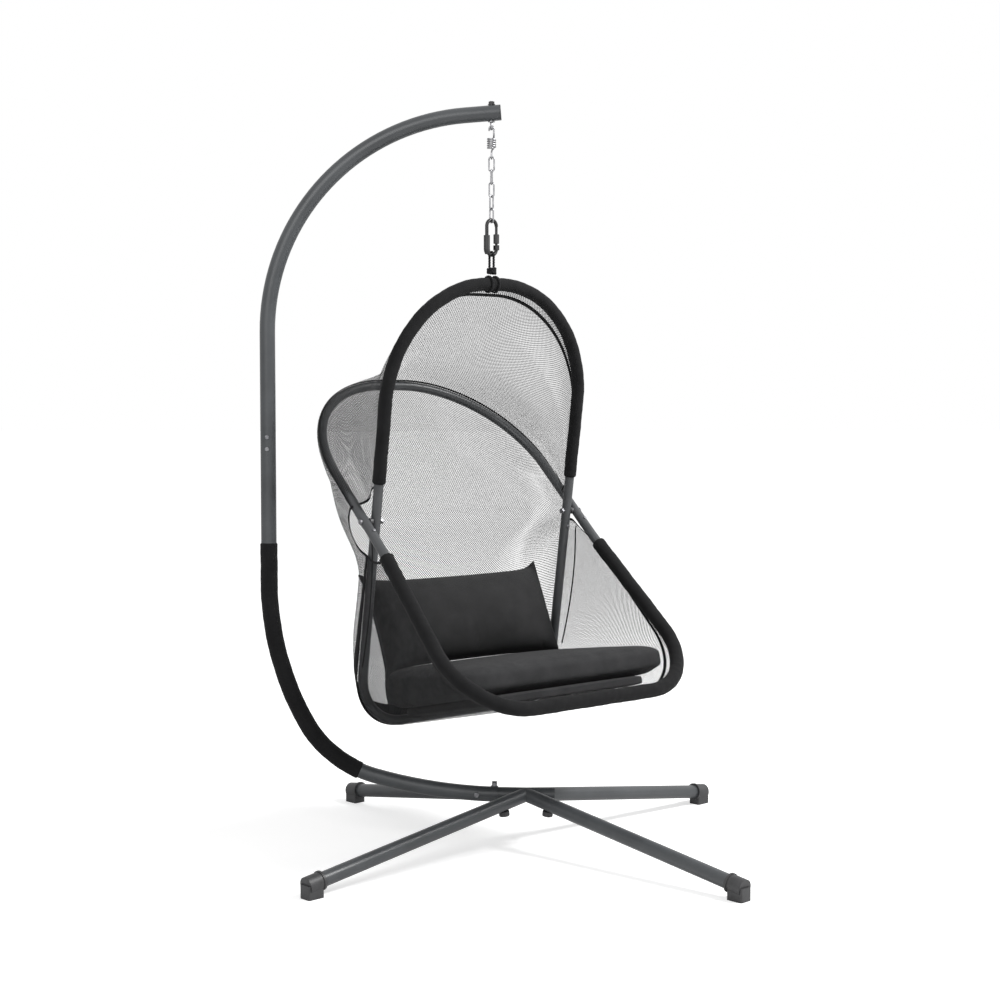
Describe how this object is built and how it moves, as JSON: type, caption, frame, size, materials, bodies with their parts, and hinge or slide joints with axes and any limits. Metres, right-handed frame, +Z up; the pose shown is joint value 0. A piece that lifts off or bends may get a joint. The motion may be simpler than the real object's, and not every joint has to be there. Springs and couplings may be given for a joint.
{
  "type": "patio swing chair",
  "caption": "Hanging lounge chair with a mesh canopy, seat cushion and pillow, swinging by a spring and chain from a curved tube stand on a cross base",
  "frame": {"origin": "on the floor, midway between the outer edges of the whole object in X and in Y", "axes": "+Z up; the mast's plane is XZ with the mast at -X and the hub of the base at +X; -Y is the side the picture was taken from"},
  "size_m": [1.2224, 1.0566, 1.9338],
  "materials": {
    "stand_grey": "satin powder coat",
    "black_plastic": "moulded, fine matte",
    "dark_steel": "plated, dull",
    "galvanised_steel": "zinc plated",
    "black_steel": "black finish, satin",
    "grip_rubber": "matte",
    "black_fabric": "woven, matte",
    "rope": "braided cord",
    "frame_grey": "satin powder coat",
    "mesh": "open weave",
    "cushion_fabric": "woven cover, matte",
    "pillow_fabric": "woven cover, matte"
  },
  "bodies": {
    "stand": {"base_hub": "stand_grey", "leg_front_right": "stand_grey", "leg_front_left": "stand_grey", "leg_back_right": "stand_grey", "leg_back_left": "stand_grey", "foot_front_right": "black_plastic", "foot_front_left": "black_plastic", "foot_back_right": "black_plastic", "foot_back_left": "black_plastic", "leg_knobs": "black_plastic", "mast_lower": "stand_grey", "mast_upper": "stand_grey", "mast_spigot": "stand_grey", "mast_joint_screws": "dark_steel", "mast_foot_bolt": "dark_steel", "mast_clamp": "stand_grey", "mast_clamp_bolt": "dark_steel", "mast_bumper": "black_fabric", "mast_plug": "black_plastic", "eye_bolt": "galvanised_steel", "eye_bolt_nut": "black_steel"},
    "spring": {"hanger_spring": "galvanised_steel"},
    "top_link": {"chain_link_1": "galvanised_steel"},
    "second_link": {"chain_link_2": "galvanised_steel"},
    "third_link": {"chain_link_3": "galvanised_steel"},
    "fourth_link": {"chain_link_4": "galvanised_steel"},
    "chair": {"chain_link_5": "galvanised_steel", "carabiner_body": "black_steel", "carabiner_pin": "black_steel", "carabiner_grip": "grip_rubber", "sling_rope": "rope", "sling_knot": "rope", "arch_tube": "frame_grey", "rear_seat_tube": "frame_grey", "canopy_tube": "frame_grey", "front_seat_tube": "frame_grey", "hoop_screws": "dark_steel", "crossing_bolts": "dark_steel", "crossing_nuts": "dark_steel", "crossing_spacers": "black_plastic", "arch_cover": "black_fabric", "front_cover": "black_fabric", "canopy_mesh": "mesh", "back_mesh": "mesh", "seat_mesh": "mesh", "seat_pad": "cushion_fabric", "seat_cushion": "cushion_fabric", "back_pillow": "pillow_fabric"},
    "gate": {"carabiner_gate": "black_steel", "carabiner_lock_sleeve": "grip_rubber"}
  },
  "joints": [
    {"name": "swing_along", "type": "hinge", "parent": "stand", "child": "spring", "pos_m": [-0.00708, 0, 1.863], "axis": [0, -1, 0], "range_deg": [-2, 12]},
    {"name": "spring_stretch", "type": "slide", "parent": "spring", "child": "top_link", "axis": [0, 0, -1], "range_m": [0, 0.015], "stiffness_N_per_m": 50000, "springref_m": -0.003, "deforming": ["hanger_spring"]},
    {"name": "swing_across", "type": "hinge", "parent": "top_link", "child": "second_link", "pos_m": [-0.00708, 0, 1.7551], "axis": [1, 0, 0], "range_deg": [-10, 10]},
    {"name": "twist_upper", "type": "hinge", "parent": "second_link", "child": "third_link", "pos_m": [-0.00708, 0, 1.7224], "axis": [0, 0, 1], "range_deg": [-20, 20]},
    {"name": "twist_middle", "type": "hinge", "parent": "third_link", "child": "fourth_link", "pos_m": [-0.00708, 0, 1.6897], "axis": [0, 0, 1], "range_deg": [-20, 20]},
    {"name": "twist_lower", "type": "hinge", "parent": "fourth_link", "child": "chair", "pos_m": [-0.00708, 0, 1.657], "axis": [0, 0, 1], "range_deg": [-20, 20]},
    {"name": "gate_opening", "type": "hinge", "parent": "chair", "child": "gate", "pos_m": [0.00486, 0.01065, 1.5621], "axis": [0.6655, -0.7464, 0], "range_deg": [0, 25], "stiffness_Nm_per_rad": 0.05, "springref_deg": -17.19}
  ]
}
